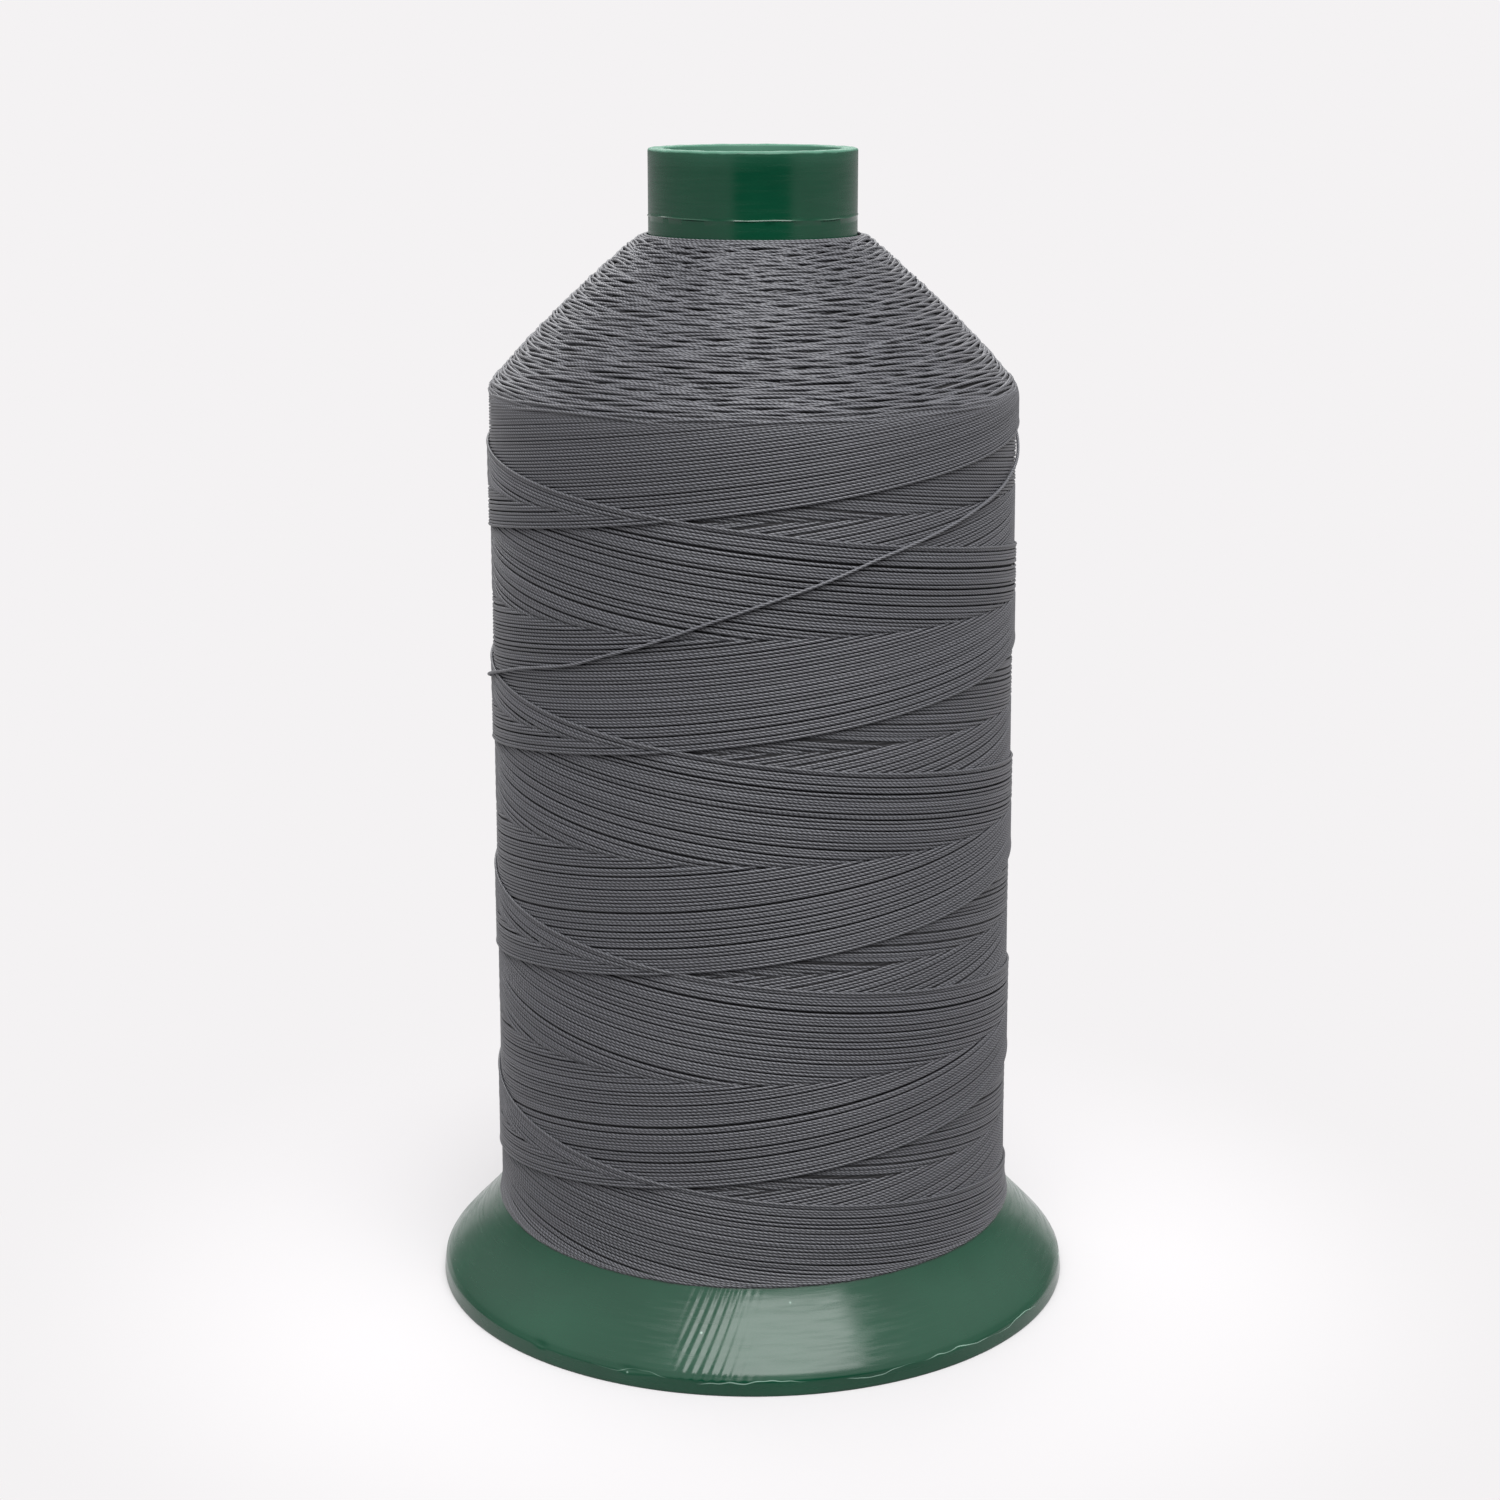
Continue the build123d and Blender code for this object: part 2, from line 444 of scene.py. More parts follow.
def laid_pass(thread, rng, index, rising):
    """The path of one pass of the winding, and where along it the thread shows.

    index counts back from the newest pass. Where the other family of passes lies over this one, it is
    hidden, and just before that it dips under.
    """
    passes = thread.passes
    top, bottom, climb = stroke_ends(thread)
    wander = drift(rng, 5, 0.11)
    # most passes lie close beside their neighbour, and a third of them leave a wider gap
    uneven = rng.normal(0, 0.09) + (rng.random() < 0.33) * rng.normal(0, 0.20)
    corner = thread.corner * rng.uniform(0.96, 1.05)
    half = thread.turns * TURN
    samples = int(half * PACKAGE_RADIUS / thread.step)
    swept = np.linspace(0.0, half, samples)  # angle from the top turn-back
    top_side = top - climb * np.sqrt(swept**2 + corner**2)
    low_side = bottom + climb * np.sqrt((half - swept) ** 2 + (LOW_CORNER * corner) ** 2)
    blend = handover(swept / half)
    height = top_side * (1 - blend) + low_side * blend
    # the turns under the shoulder are drawn up tight and even
    loose = 1 - 0.85 * np.clip((height - TIGHT_FROM) / TIGHT_OVER, 0, 1)
    place = index + (uneven + wander(swept * 0.5)) * loose
    way = -1 if rising else 1
    angle = math.radians(thread.newest_angle) - place * (TURN / passes) + way * swept
    rising_here, falling_here = pass_numbers(thread, angle, height)
    # of two passes with the same number, the rising one was laid half a stroke before the falling one
    own = index + (0.5 if rising else 0.0)
    other = falling_here if rising else rising_here + 0.5
    below = np.where(other > own, 0.0, 1.0)
    layer = (own + other + below * passes) / passes
    # near the crossing where the families change places the thread dips under over one neighbour
    gap = np.minimum(np.abs(other - own), passes)
    dip = np.clip(1 - gap / 1.2, 0, 1) * 0.5
    layer = layer + np.where(below > 0, -dip, dip)
    depth = thread.diameter / 2 + CLEAR + thread.diameter * thread.packing * layer
    # the newest pass stands a little prouder than the rest
    depth = depth + 0.02 * np.sin(swept * 9 + index) - (0.06 if index == 0 else 0.0)
    shows = (below == 0) | (gap < 3.0) | (other < 3.0) | (other > passes - 1.0)
    return angle, distance_at(height), depth, shows


def runs_of(angle, distance, depth, shows, rng):
    """Cut a path into the stretches that show, each a run for lay_threads."""
    runs = []
    edges = np.flatnonzero(np.diff(np.concatenate([[0], shows.astype(int), [0]])))
    for first, last in zip(edges[::2], edges[1::2]):
        if last - first < 4:
            continue
        part = slice(first, last)
        points, normals = on_package(angle[part], distance[part], depth[part])
        runs.append((points, normals, rng.uniform(0, 40), 0.5 + 0.5 * rng.uniform(-1, 1)))
    return runs


# ---------------------------------------------------------------- materials
def plastic_material(core, rim, lip):
    """Polypropylene, injection-moulded against polished steel.

    It is deep green and glossy, slightly see-through where it is thin, as at the rim, where the glow is
    painted into its colour, and soft enough to scratch and to whiten along its edges. rim and lip are the
    heights of those two edges in metres.
    """
    made, tree, shader = material("polypropylene_moulded_gloss")
    place = node(tree, PLACE, out="Object")
    split = node(tree, SPLIT, {"Vector": place}).node.outputs
    worn = linear(core.worn)
    # the pigment is a little cloudy
    base = linear(core.plastic)
    lighter = [min(1.0, c * 1.2 + 0.001) for c in base[:3]] + [1.0]
    cloud = node(tree, NOISE, {"Vector": place}, Scale=90.0, Detail=3.0)
    colour = node(tree, RAMP, {"in0": cloud}, stops=[(0.35, base), (0.7, lighter)])
    # the rim, and a millimetre more on the bore's side, is painted pale: partly rubbed wear, partly
    # painted highlight on its lit top face and painted glow of light through the thin plastic
    rubbed = node(tree, NOISE, {"Vector": place}, Scale=420.0, Detail=3.0)
    uneven = node(tree, MATH, {"in0": rubbed}, operation="MULTIPLY_ADD", in1=0.0005, in2=-0.00025)
    height = node(tree, MATH, {"in0": split["Z"], "in1": uneven}, operation="ADD")
    flat = node(tree, VECTOR, {"in0": place}, operation="MULTIPLY", in1=(1.0, 1.0, 0.0))
    radius = node(tree, VECTOR, {"in0": flat}, out="Value", operation="LENGTH")
    tube = core.tube_radius * MM
    inside = node(
        tree, RANGE, {"Value": radius}, **SMOOTH,
        From_Min=tube - 0.0018, From_Max=tube - 0.0013, To_Min=0.0009, To_Max=0.0,
    )
    reach = node(tree, MATH, {"in0": height, "in1": inside}, operation="ADD")
    # the rim's top face and its rounding: rubbed wear, and a painted highlight of the top lit from above
    edge = node(
        tree, RANGE, {"Value": reach}, **SMOOTH,
        From_Min=rim - 0.00045, From_Max=rim - 0.00015, To_Max=0.32,
    )
    # painted glow: paler over the last 2.6 mm below the rim, for light coming through the thin plastic
    painted_rim_glow = node(
        tree, RANGE, {"Value": height}, **SMOOTH,
        From_Min=rim - 0.0026, From_Max=rim - 0.0002, To_Max=0.05,
    )
    rim_glow_and_rub = node(tree, MATH, {"in0": edge, "in1": painted_rim_glow}, operation="MAXIMUM")
    colour = node(tree, MIX, {"in0": rim_glow_and_rub, "in6": colour}, **COLOUR, in7=linear(core.rim_glow_and_rub_tint))
    # dust and rubbed specks a quarter of a millimetre across, more of them near the rim
    cells = node(tree, "ShaderNodeTexVoronoi", {"Vector": place}, out="Distance", Scale=420.0)
    speck = node(
        tree, RANGE, {"Value": cells}, **SMOOTH, From_Min=0.02, From_Max=0.10, To_Min=0.7, To_Max=0.0
    )
    patch = node(tree, NOISE, {"Vector": place}, Scale=210.0, Detail=0.0)
    near_rim = node(
        tree, RANGE, {"Value": split["Z"]}, **SMOOTH, From_Min=rim - 0.006, From_Max=rim, To_Max=0.07
    )
    crowd = node(tree, MATH, {"in0": patch, "in1": near_rim}, operation="ADD")
    chosen = node(tree, RANGE, {"Value": crowd}, **SMOOTH, From_Min=0.72, From_Max=0.76)
    speck = node(tree, MATH, {"in0": speck, "in1": chosen}, operation="MULTIPLY")
    colour = node(tree, MIX, {"in0": speck, "in6": colour}, **COLOUR, in7=worn)
    # a fine wavy whitened scratch above the lip's top edge, less broken at the front
    wave = node(tree, NOISE, {"Vector": place}, Scale=130.0, Detail=2.0)
    below = node(tree, MATH, {"in0": wave}, operation="MULTIPLY_ADD", in1=0.0028, in2=-0.0011 - lip)
    above = node(tree, MATH, {"in0": split["Z"], "in1": below}, operation="ADD")
    away = node(tree, MATH, {"in0": above}, operation="ABSOLUTE")
    line = node(
        tree, RANGE, {"Value": away}, **SMOOTH, From_Min=0.00002, From_Max=0.00007, To_Min=1.0, To_Max=0.0
    )
    broken = node(tree, NOISE, {"Vector": place}, Scale=75.0, Detail=2.0)
    front = node(
        tree, RANGE, {"Value": split["Y"]}, **SMOOTH,
        From_Min=-0.0425, From_Max=-0.036, To_Min=0.13, To_Max=0.0,
    )
    whole = node(tree, MATH, {"in0": broken, "in1": front}, operation="ADD")
    whole = node(tree, RANGE, {"Value": whole}, **SMOOTH, From_Min=0.55, From_Max=0.64, To_Max=0.65)
    line = node(tree, MATH, {"in0": line, "in1": whole}, operation="MULTIPLY")
    on_lip = node(
        tree, RANGE, {"Value": split["Z"]}, **SMOOTH,
        From_Min=lip + 0.001, From_Max=lip + 0.002, To_Min=1.0, To_Max=0.0,
    )
    line = node(tree, MATH, {"in0": line, "in1": on_lip}, operation="MULTIPLY")
    colour = node(tree, MIX, {"in0": line, "in6": colour}, **COLOUR, in7=worn)
    tree.links.new(colour, shader.inputs["Base Color"])
    shader.inputs["IOR"].default_value = 1.49
    # fine level scratches from handling roughen it in streaks, and the rim, painted pale, is matt
    streaks = node(tree, "ShaderNodeMapping", {"Vector": place}, Scale=(60.0, 60.0, 900.0))
    scratch = node(tree, NOISE, {"Vector": streaks}, Scale=3.0, Detail=4.0)
    handled = node(
        tree, RANGE, {"Value": scratch}, **SMOOTH, From_Min=0.3, From_Max=0.75, To_Min=0.14, To_Max=0.30
    )
    matt = node(tree, MATH, {"in0": rim_glow_and_rub}, operation="MULTIPLY", in1=1.3)
    rough = node(tree, MATH, {"in0": handled, "in1": matt}, operation="ADD")
    tree.links.new(rough, shader.inputs["Roughness"])
    # flow marks: a few slanting ripples 1.3 mm apart on the foot's cone, left of the front
    around = node(tree, MATH, {"in0": split["Y"], "in1": split["X"]}, operation="ARCTAN2")
    slant = node(tree, MATH, {"in0": split["Z"]}, operation="MULTIPLY", in1=-10.5)
    across = node(tree, MATH, {"in0": around, "in1": slant}, operation="ADD")
    ripple = node(tree, MATH, {"in0": across}, operation="MULTIPLY", in1=200.0)
    ripple = node(tree, MATH, {"in0": ripple}, operation="SINE")
    starts = node(
        tree, RANGE, {"Value": around}, **SMOOTH,
        From_Min=math.radians(-105), From_Max=math.radians(-101), To_Max=2.2,
    )
    fades = node(
        tree, RANGE, {"Value": around}, **SMOOTH,
        From_Min=math.radians(-95), From_Max=math.radians(-86), To_Min=1.0, To_Max=0.0,
    )
    within = node(tree, MATH, {"in0": starts, "in1": fades}, operation="MULTIPLY")
    ripple = node(tree, MATH, {"in0": ripple, "in1": within}, operation="MULTIPLY")
    on_foot = node(
        tree, RANGE, {"Value": split["Z"]}, **SMOOTH,
        From_Min=0.013, From_Max=0.014, To_Min=1.0, To_Max=0.0,
    )
    ripple = node(tree, MATH, {"in0": ripple, "in1": on_foot}, operation="MULTIPLY")
    graze = node(tree, MATH, {"in0": scratch}, operation="MULTIPLY", in1=0.5)
    relief = node(tree, MATH, {"in0": ripple, "in1": graze}, operation="ADD")
    bump = node(tree, "ShaderNodeBump", {"Height": relief}, Strength=0.35, Distance=0.00003)
    tree.links.new(bump, shader.inputs["Normal"])
    return made


def thread_material(thread):
    """Bonded continuous-filament thread, three plies twisted together and sealed with a clear bond.

    The plies show as slanting ribs with painted shade in the grooves, and the bond gives a low satin
    sheen.
    """
    made, tree, shader = material("thread_bonded_three_ply")
    uv = node(tree, "ShaderNodeUVMap", uv_map="along_thread")
    split = node(tree, SPLIT, {"Vector": uv}).node.outputs
    along = node(tree, MATH, {"in0": split["X"]}, operation="MULTIPLY", in1=PLIES / thread.lay)
    around = node(tree, MATH, {"in0": split["Y"]}, operation="MULTIPLY", in1=PLIES)
    twist = node(tree, MATH, {"in0": along, "in1": around}, operation="SUBTRACT")
    # painted shade: a ply keeps its colour across its middle and is painted dark at both edges, in its
    # grooves
    across = node(tree, MATH, {"in0": twist}, operation="FRACT")
    centred = node(tree, MATH, {"in0": across}, operation="SUBTRACT", in1=0.5)
    away = node(tree, MATH, {"in0": centred}, operation="ABSOLUTE")
    painted_groove_shade = node(tree, RANGE, {"Value": away}, **SMOOTH, From_Min=0.16, From_Max=0.48)
    # each run is a shade lighter or darker, as wound thread catches the light
    shade = node(tree, "ShaderNodeAttribute", out="Fac", attribute_name="run_shade")
    darker, lighter = ([*(c * f for c in linear(thread.colour)[:3]), 1.0] for f in (0.86, 1.12))
    tone = node(tree, RAMP, {"in0": shade}, stops=[(0.0, darker), (1.0, lighter)])
    colour = node(tree, MIX, {"in0": painted_groove_shade, "in6": tone}, **COLOUR, in7=linear(thread.ply_gap_shade_colour))
    tree.links.new(colour, shader.inputs["Base Color"])
    shader.inputs["Roughness"].default_value = 0.45
    shader.inputs["IOR"].default_value = 1.45
    return made


def under_material(thread):
    """The same thread in the layers below, seen only through gaps, where little light reaches it: its
    colour is painted shade, darker between its turns.
    """
    made, tree, shader = material("thread_lower_layers")
    height = node(tree, SPLIT, {"Vector": node(tree, PLACE, out="Object")}, out="Z")
    per_metre = TURN / (thread.diameter * MM)
    turns = node(tree, MATH, {"in0": height}, operation="MULTIPLY", in1=per_metre)
    wave = node(tree, MATH, {"in0": turns}, operation="SINE")
    # painted shade: dark between the turns and a little less dark on them
    stops = [(0.2, linear(thread.shaded_under_gap)), (0.9, linear(thread.shaded_under_turn))]
    colour = node(tree, RAMP, {"in0": wave}, stops=stops)
    tree.links.new(colour, shader.inputs["Base Color"])
    shader.inputs["Roughness"].default_value = 0.8
    return made


# ---------------------------------------------------------------- operators
class SPOOL_OT_core(bpy.types.Operator):
    """Turn the moulded core: lip, foot cone, tube, neck with its parting line, bore and hollow"""

    bl_idname = "spool.core"
    bl_label = "Moulded Core"

    def execute(self, context):
        core = context.scene.spool_core
        # the box lies a hair inside the true foot, so the outline is fitted to the box
        foot, _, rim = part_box("core")[1] / MM
        ridge = foot - core.lip_lean
        slope = math.radians(core.foot_slope)
        turn = (math.pi / 2 - slope) / 2  # half the bend from the cone up to the tube
        bend = math.degrees(math.pi / 2 - slope)
        outer_z = partial(cone_height, core, ridge)
        inner_z = partial(cone_height, core, ridge - core.foot_wall / math.sin(slope))
        tube, bore, lip = core.tube_radius, core.bore_radius, core.lip_height
        # the lip, from its standing face up to its ridge
        outline = [(foot - 0.12, 0.0), (foot - 0.03, 0.05), (foot, 0.16)]
        outline += straight((foot - 0.01, 0.4), (ridge + 0.03, lip - 0.3), 0.4)
        outline += [(ridge + 0.02, lip - 0.25), (ridge - 0.03, lip - 0.08), (ridge - 0.14, lip + 0.06)]
        outline.append((ridge - 0.3, outer_z(ridge - 0.3)))
        # the cone, which sinks a little where it shows
        hidden = 33.0  # radius in mm from which the windings hide it
        flank = straight((ridge - 0.55, outer_z(ridge - 0.55)), (hidden, outer_z(hidden)), 0.6)
        sag = core.cone_sink * np.sin(np.pi * np.linspace(0, 1, len(flank)) ** 1.3)
        outline += [(r - d * math.sin(slope), z - d * math.cos(slope)) for (r, z), d in zip(flank, sag)]
        # its turn up into the tube
        root, root_z = core.root_rounding, outer_z(tube)
        reach = root * math.tan(turn)
        root_r = tube + reach * math.cos(slope)
        outline += straight((hidden, outer_z(hidden)), (root_r, outer_z(root_r)), 6.0)
        outline += arc((tube + root, root_z + reach), root, 180 + bend, 180, 7)
        # the tube, the parting line round its neck and the rim
        flash, stand = rim - core.flash_below_rim, core.flash_stand
        outline += straight((tube, root_z + reach + 1), (tube, flash - 3.0), 18.0)
        outline += straight((tube, flash - 3.0), (tube, flash - 0.14), 0.6)
        outline += [(tube, flash - 0.14), (tube + stand * 0.7, flash - 0.06), (tube + stand, flash)]
        outline += [(tube + stand * 0.6, flash + 0.05), (tube, flash + 0.12)]
        outline += straight((tube, flash + 0.4), (tube, rim - core.rim_rounding), 0.6)
        outline += arc((tube - core.rim_rounding, rim - core.rim_rounding), core.rim_rounding, 0, 90, 6)
        mouth = core.mouth_rounding
        outline += arc((bore + mouth, rim - mouth), mouth, 90, 180, 5)
        # down the bore, round the throat and out under the foot
        throat, throat_z = core.throat_rounding, inner_z(bore)
        throat_reach = throat * math.tan(turn)
        outline += straight((bore, rim - 1.5), (bore, throat_z + throat_reach), 14.0)
        outline += arc((bore + throat, throat_z + throat_reach), throat, 180, 180 + bend, 6)
        bend_r = bore + throat_reach * math.cos(slope) + 0.3
        lip_in = foot - core.lip_width
        outline += straight((bend_r, inner_z(bend_r)), (lip_in, inner_z(lip_in)), 2.5)
        outline += [(lip_in, inner_z(lip_in)), (lip_in, 0.1), (lip_in + 0.1, 0.0)]
        piece = turned(outline, core.around)
        self.weather(piece, core, flash, rim, foot)
        smooth_by_angle(piece, 32)
        skin = plastic_material(core, rim * MM, lip * MM)
        finish_piece(piece, "core_moulding", skin, ["core"])
        return {"FINISHED"}

    def weather(self, piece, core, flash, rim, foot):
        """Make the parting line wander and nick the rim and the lip, as handling does."""
        mesh = piece.data
        co = np.empty(len(mesh.vertices) * 3)
        mesh.vertices.foreach_get("co", co)
        co = co.reshape(-1, 3) / MM
        radius = np.hypot(co[:, 0], co[:, 1])
        angle = np.arctan2(co[:, 1], co[:, 0])
        # the parting line sways, and stands out unevenly
        on_neck = co[:, 2] > rim - 14
        outside = radius > core.tube_radius - 0.05
        near = np.clip(1 - np.abs(co[:, 2] - flash) / 1.2, 0, 1) * outside * on_neck
        sway = 0.06 * np.sin(angle * 2 + 0.6) + 0.05 * np.sin(angle * 5 + 2.0) + 0.02 * np.sin(angle * 17)
        co[:, 2] += near * sway
        proud = (radius > core.tube_radius + 0.02) & (co[:, 2] > rim - 14)
        uneven = 0.55 + 0.45 * np.sin(angle * 3 + 1.0) * np.sin(angle * 11 + 0.4)
        stand = core.tube_radius + (radius - core.tube_radius) * uneven
        co[:, :2] *= np.where(proud, stand / radius, 1.0)[:, None]
        # nicks in the lip's ridge: a rubbed patch left of the front, and smaller ones round the edge
        ridge = np.clip(1 - np.abs(co[:, 2] - core.lip_height) / 0.5, 0, 1) * (radius > foot - 1.2)
        for centre, width, depth in LIP_NICKS:
            off = np.degrees(np.angle(np.exp(1j * (angle - math.radians(centre)))))
            bite = np.clip(1 - np.abs(off) / width, 0, 1) * ridge
            rough = 0.5 + 0.5 * np.sin(off * 9 + centre) * np.sin(off * 23)
            co[:, 2] -= depth * bite * rough
            co[:, :2] *= (1 - depth * bite * rough / foot)[:, None]
        # the rim is a little rough
        top = np.clip((co[:, 2] - (rim - 0.5)) / 0.5, 0, 1)
        co[:, 2] -= top * 0.05 * (0.5 + 0.5 * np.sin(angle * 7 + 1) * np.sin(angle * 19))
        mesh.vertices.foreach_set("co", (co * MM).ravel())
        mesh.update()


class SPOOL_OT_lower_layers(bpy.types.Operator):
    """Turn the wound body under the visible threads, a full layer inside the package's skin"""

    bl_idname = "spool.lower_layers"
    bl_label = "Lower Layers"

    def execute(self, context):
        thread = context.scene.spool_thread
        core = context.scene.spool_core
        foot = (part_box("core")[1] / MM).x
        on_cone = partial(cone_height, core, foot - core.lip_lean)
        distances = np.linspace(0.2, distance_at(SKIN[0, 1]), 90)
        # under the sloping top it lies less deep
        depth = np.where(distances < distance_at(120.0), 0.62, thread.diameter * 1.8)
        radius, height, _, _ = along_skin(distances, depth)
        tube = core.tube_radius
        outline = list(zip(radius.tolist(), height.tolist()))
        hem = outline[-1][0]
        outline += [(hem, on_cone(hem) + 0.05), (tube + 3.0, on_cone(tube + 3.0) + 0.6)]
        outline += [(tube + 0.03, on_cone(tube) + 4), (tube + 0.03, height[0])]
        piece = turned(outline[::-1], 192)
        smooth_by_angle(piece, 40)
        # the lower layers' material is painted shade, dark for the little light that reaches them
        finish_piece(piece, "lower_layers", under_material(thread), ["thread_package"])
        return {"FINISHED"}


class SPOOL_OT_crossed_windings(bpy.types.Operator):
    """Lay the last passes of the cross winding, rising and falling, each beside the one before"""

    bl_idname = "spool.crossed_windings"
    bl_label = "Crossed Windings"

    def execute(self, context):
        thread = context.scene.spool_thread
        rng = np.random.default_rng(thread.seed)
        skin = thread_material(thread)
        parts = 4
        for family, rising in (("rising", True), ("falling", False)):
            groups = [[] for _ in range(parts)]
            for index in range(thread.passes):
                path = laid_pass(thread, rng, index, rising)
                groups[index * parts // thread.passes] += runs_of(*path, rng)
            for number, runs in enumerate(groups, 1):
                name = f"windings_{family}_{number}"
                piece = lay_threads(name, runs, thread.diameter / 2 * LAID_WIDTH, thread.sides)
                finish_piece(piece, name, skin)
        return {"FINISHED"}


class SPOOL_OT_top_windings(bpy.types.Operator):
    """Lay the turn-backs of the strokes, which make the package's sloping top"""

    bl_idname = "spool.top_windings"
    bl_label = "Top Windings"

    def execute(self, context):
        thread = context.scene.spool_thread
        rng = np.random.default_rng(thread.seed + 1)
        skin = bpy.data.materials["thread_bonded_three_ply"]
        top, _, climb = stroke_ends(thread)
        shoulder = distance_at(top - 2.4)
        half = math.radians(TOP_REACH)
        turn_back = math.radians(thread.newest_angle)
        parts = 3
        groups = [[] for _ in range(parts)]
        for number in range(TOP_STROKES):
            share = (number + rng.uniform(-0.5, 0.5)) / TOP_STROKES
            peak = 0.25 + share * (shoulder - 0.25)
            centre = turn_back + number * TURN * GOLDEN + rng.normal(0, 0.05)
            corner = TOP_CORNER * rng.uniform(0.7, 1.6)
            swept = np.linspace(-half, half, 15) * rng.uniform(0.85, 1.1)
            wander = drift(rng, 4, 0.05)
            fall = np.sqrt(swept**2 + corner**2) - corner
            drop = climb / math.sin(math.radians(TOP_SLOPE)) * fall
            distance = peak + drop + wander(swept * 8)
            # a turn-back lies over the legs of those above it
            depth = thread.diameter / 2 + CLEAR + 0.42 * drop + rng.uniform(0, 0.21)
            points, normals = on_package(centre + swept, distance, depth)
            run = (points, normals, rng.uniform(0, 40), 0.5 + 0.5 * rng.uniform(-1, 1))
            groups[number * parts // TOP_STROKES].append(run)
        groups[0].append(self.neck_turns(thread))
        for number, runs in enumerate(groups, 1):
            name = f"windings_top_{number}"
            piece = lay_threads(name, runs, thread.diameter / 2 * LAID_WIDTH, thread.sides)
            finish_piece(piece, name, skin)
        return {"FINISHED"}

    def neck_turns(self, thread):
        """Three level turns drawn up against the neck."""
        turns = 3.2
        angle = np.linspace(0, turns * TURN, 260)
        shelf_r, shelf_z = SKIN[-1]
        inner = shelf_r - SHELF + thread.diameter / 2 + 0.01
        radius = inner + thread.diameter * 0.93 * angle / TURN
        sink = 0.10 * (angle / TURN) ** 1.5
        height = shelf_z - thread.diameter / 2 - CLEAR - sink + 0.05 * np.sin(angle * 1.7)
        points = np.stack([radius * np.cos(angle), radius * np.sin(angle), height], -1)
        normals = np.stack([np.cos(angle) * 0.5, np.sin(angle) * 0.5, np.ones_like(angle)], -1)
        return points, normals / np.linalg.norm(normals, axis=1)[:, None], 0.0, 0.6


class SPOOL_OT_last_strand(bpy.types.Operator):
    """Lay the last strand steeply over the other windings"""

    bl_idname = "spool.last_strand"
    bl_label = "Last Strand"

    def execute(self, context):
        thread = context.scene.spool_thread
        route = np.array(STRAND_ROUTE)
        angle = np.radians(np.linspace(route[0, 0], route[-1, 0], 1100))
        height = np.interp(angle, np.radians(route[:, 0]), route[:, 1])
        window = np.hanning(61) / np.hanning(61).sum()
        height = np.convolve(np.pad(height, 30, mode="reflect", reflect_type="odd"), window, "valid")
        # held off the windings where it leaves them and where it goes round the far side
        lift = sum(0.10 * np.exp(-(((np.degrees(angle) - a) / 5.0) ** 2)) for a in (-174.5, -11.5))
        # both ends go in under the windings
        share = np.linspace(0, 1, len(angle))
        tuck = np.clip(1 - np.minimum(share, 1 - share) / 0.03, 0, 1)
        layers = sum(pass_numbers(thread, angle, height)) / thread.passes
        under = np.pad(layers * thread.packing * thread.diameter, 30, mode="edge")
        under = np.convolve(under, window, "valid")
        depth = 0.04 + under - thread.diameter / 2 - lift + tuck * thread.diameter * 2.0
        points, normals = on_package(angle, distance_at(height), depth)
        name = "last_strand_laid"
        piece = lay_threads(name, [(points, normals, 3.0, 0.9)], thread.diameter / 2, 18, thread.lay)
        skin = bpy.data.materials["thread_bonded_three_ply"]
        finish_piece(piece, name, skin, ["last_strand"])
        return {"FINISHED"}


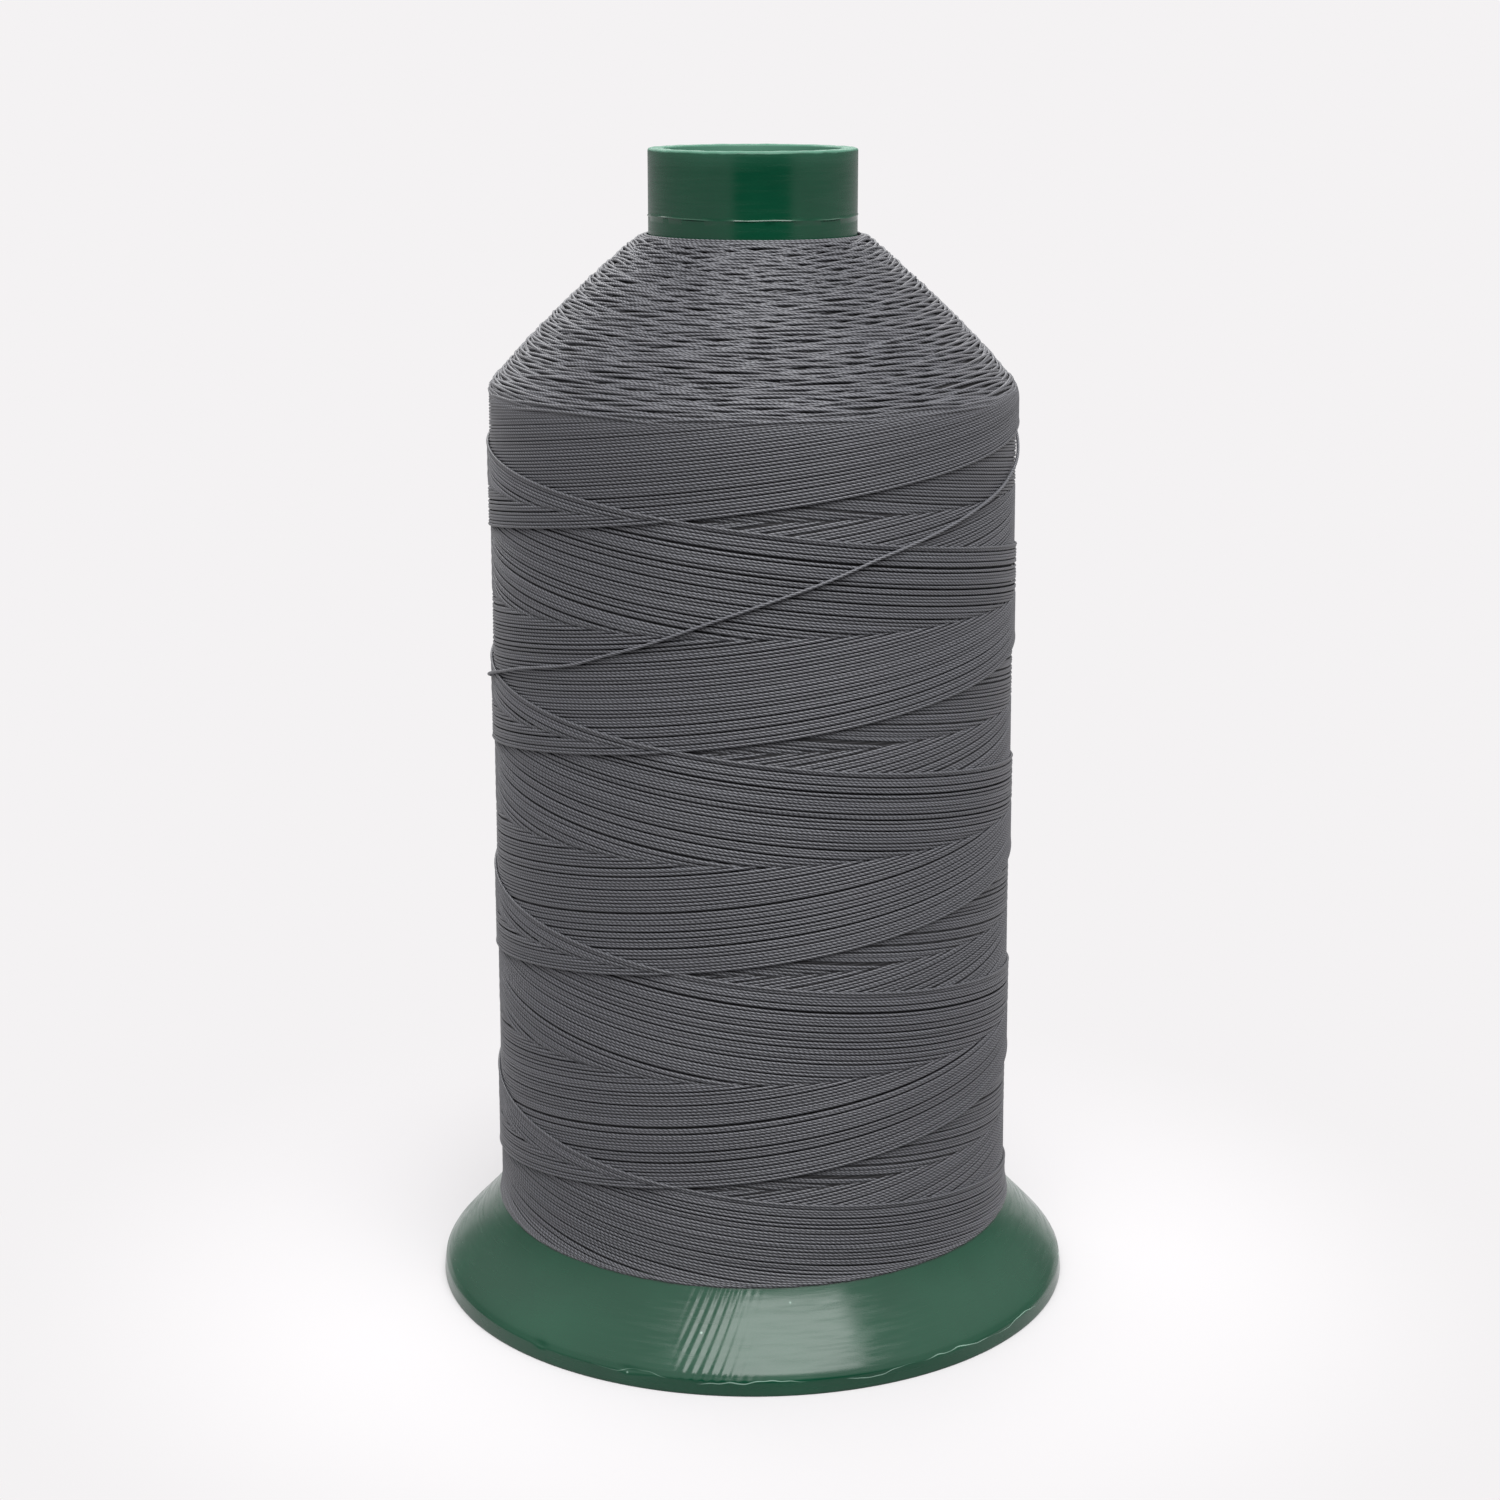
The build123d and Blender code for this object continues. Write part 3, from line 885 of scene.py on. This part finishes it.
class SPOOL_OT_stage(bpy.types.Operator):
    """Set up the pale floor, the soft lights and the camera"""

    bl_idname = "spool.stage"
    bl_label = "Studio"

    def execute(self, context):
        stage = context.scene.spool_stage
        deselect()
        bpy.ops.mesh.primitive_circle_add(vertices=96, radius=2.0, fill_type="NGON", location=(0, 0, 0))
        floor = context.object
        floor.name = "floor"
        floor.data.materials.append(self.paper(stage))
        self.surround(context.scene)
        for name, width, depth, energy, place, aim in LAMPS:
            light = bpy.data.lights.new(name, "AREA")
            light.shape = "RECTANGLE"
            light.size, light.size_y = width, depth
            light.energy = energy
            lamp = bpy.data.objects.new(name, light)
            context.scene.collection.objects.link(lamp)
            lamp.location = place
            ray = Vector((0, 0, aim)) - lamp.location
            lamp.rotation_euler = ray.to_track_quat("-Z", "Y").to_euler()
        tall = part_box("core")[1].z
        lens = bpy.data.cameras.new("camera")
        lens.lens = stage.lens
        lens.sensor_width = 36.0
        lens.clip_start = 0.01
        camera = bpy.data.objects.new("camera", lens)
        context.scene.collection.objects.link(camera)
        camera.location = (-stage.aside * tall, -stage.distance * tall, stage.height * tall)
        camera.rotation_euler = (math.radians(90 - stage.tilt), 0, 0)
        context.scene.camera = camera
        context.scene.view_settings.view_transform = "Standard"
        return {"FINISHED"}

    def paper(self, stage):
        """Matt white paper, as bright as the tent away from the spool, so that no horizon shows.

        It throws back less diffuse light than it shows, as paper in a deep tent does.
        """
        made, tree, shader = material("paper_matt")
        rays = node(tree, "ShaderNodeLightPath").node.outputs
        shown = node(
            tree, MATH, {"in0": rays["Is Camera Ray"], "in1": rays["Is Glossy Ray"]}, operation="MAXIMUM"
        )
        floor, bounce = linear(stage.floor), linear(stage.bounce)
        tone = node(tree, MIX, {"in0": shown}, **COLOUR, in6=bounce, in7=floor)
        tree.links.new(tone, shader.inputs["Base Color"])
        shader.inputs["Roughness"].default_value = 0.9
        shader.inputs["Specular IOR Level"].default_value = 0.1
        place = node(tree, PLACE, out="Object")
        away = node(tree, VECTOR, {"in0": place}, out="Value", operation="LENGTH")
        far = node(tree, RANGE, {"Value": away}, **SMOOTH, From_Min=0.02, From_Max=0.11)
        way = node(tree, VECTOR, {"in0": place}, operation="NORMALIZE")
        level = self.opening(tree, way, To_Min=0.78)
        bright = node(tree, "ShaderNodeEmission", {"Strength": level}, Color=linear(stage.paper))
        lit = shader.outputs[0]
        blend = node(tree, "ShaderNodeMixShader", {"in0": far, "in1": lit, "in2": bright})
        surface = next(n for n in tree.nodes if n.type == "OUTPUT_MATERIAL").inputs["Surface"]
        tree.links.new(blend, surface)
        return made

    def surround(self, scene):
        """A white tent, brighter overhead, with a dark opening on the front side."""
        world = bpy.data.worlds.new("white_tent")
        scene.world = world
        world.use_nodes = True
        tree = world.node_tree
        tree.nodes.clear()
        way = node(tree, PLACE, out="Generated")
        high = node(tree, SPLIT, {"Vector": way}, out="Z")
        rise = node(tree, RANGE, {"Value": high}, From_Min=0.15, From_Max=0.6, To_Min=0.40, To_Max=1.25)
        level = self.opening(tree, way, {"To_Min": rise})
        paper = linear(scene.spool_stage.paper)
        tent = node(tree, "ShaderNodeBackground", {"Strength": level}, Color=paper)
        tree.links.new(tent, tree.nodes.new("ShaderNodeOutputWorld").inputs["Surface"])

    def opening(self, tree, way, fed=None, **bright):
        """Brightness of the tent in a direction: dark in its opening, and plain paper to look at.

        The brightness outside the opening is fed by an output or is a number.
        """
        facing = node(tree, VECTOR, {"in0": way}, out="Value", operation="DOT_PRODUCT", in1=OPENING)
        level = node(
            tree, RANGE, {"Value": facing, **(fed or {})}, **SMOOTH, **bright,
            From_Min=0.80, From_Max=0.90, To_Max=0.02,
        )
        seen = node(tree, "ShaderNodeLightPath", out="Is Camera Ray")
        return node(tree, MIX, {"in0": seen, "in2": level}, data_type="FLOAT", in3=1.0)


class SPOOL_PT_panel(bpy.types.Panel):
    bl_label = "Spool of Thread"
    bl_idname = "SPOOL_PT_panel"
    bl_space_type = "VIEW_3D"
    bl_region_type = "UI"
    bl_category = "Spool"

    def draw(self, context):
        for step in STEPS:
            self.layout.operator(step.bl_idname)


STEPS = (
    SPOOL_OT_core,
    SPOOL_OT_lower_layers,
    SPOOL_OT_crossed_windings,
    SPOOL_OT_top_windings,
    SPOOL_OT_last_strand,
    SPOOL_OT_stage,
)
SETTINGS = {"spool_core": CoreSettings, "spool_thread": ThreadSettings, "spool_stage": StageSettings}


def register():
    for kind in (*SETTINGS.values(), *STEPS, SPOOL_PT_panel):
        bpy.utils.register_class(kind)
    for name, kind in SETTINGS.items():
        setattr(bpy.types.Scene, name, bpy.props.PointerProperty(type=kind))


def unregister():
    for name in SETTINGS:
        delattr(bpy.types.Scene, name)
    for kind in reversed((*SETTINGS.values(), *STEPS, SPOOL_PT_panel)):
        bpy.utils.unregister_class(kind)


def main():
    register()
    for step in STEPS:
        group, action = step.bl_idname.split(".")
        getattr(getattr(bpy.ops, group), action)()


if __name__ == "__main__":
    main()
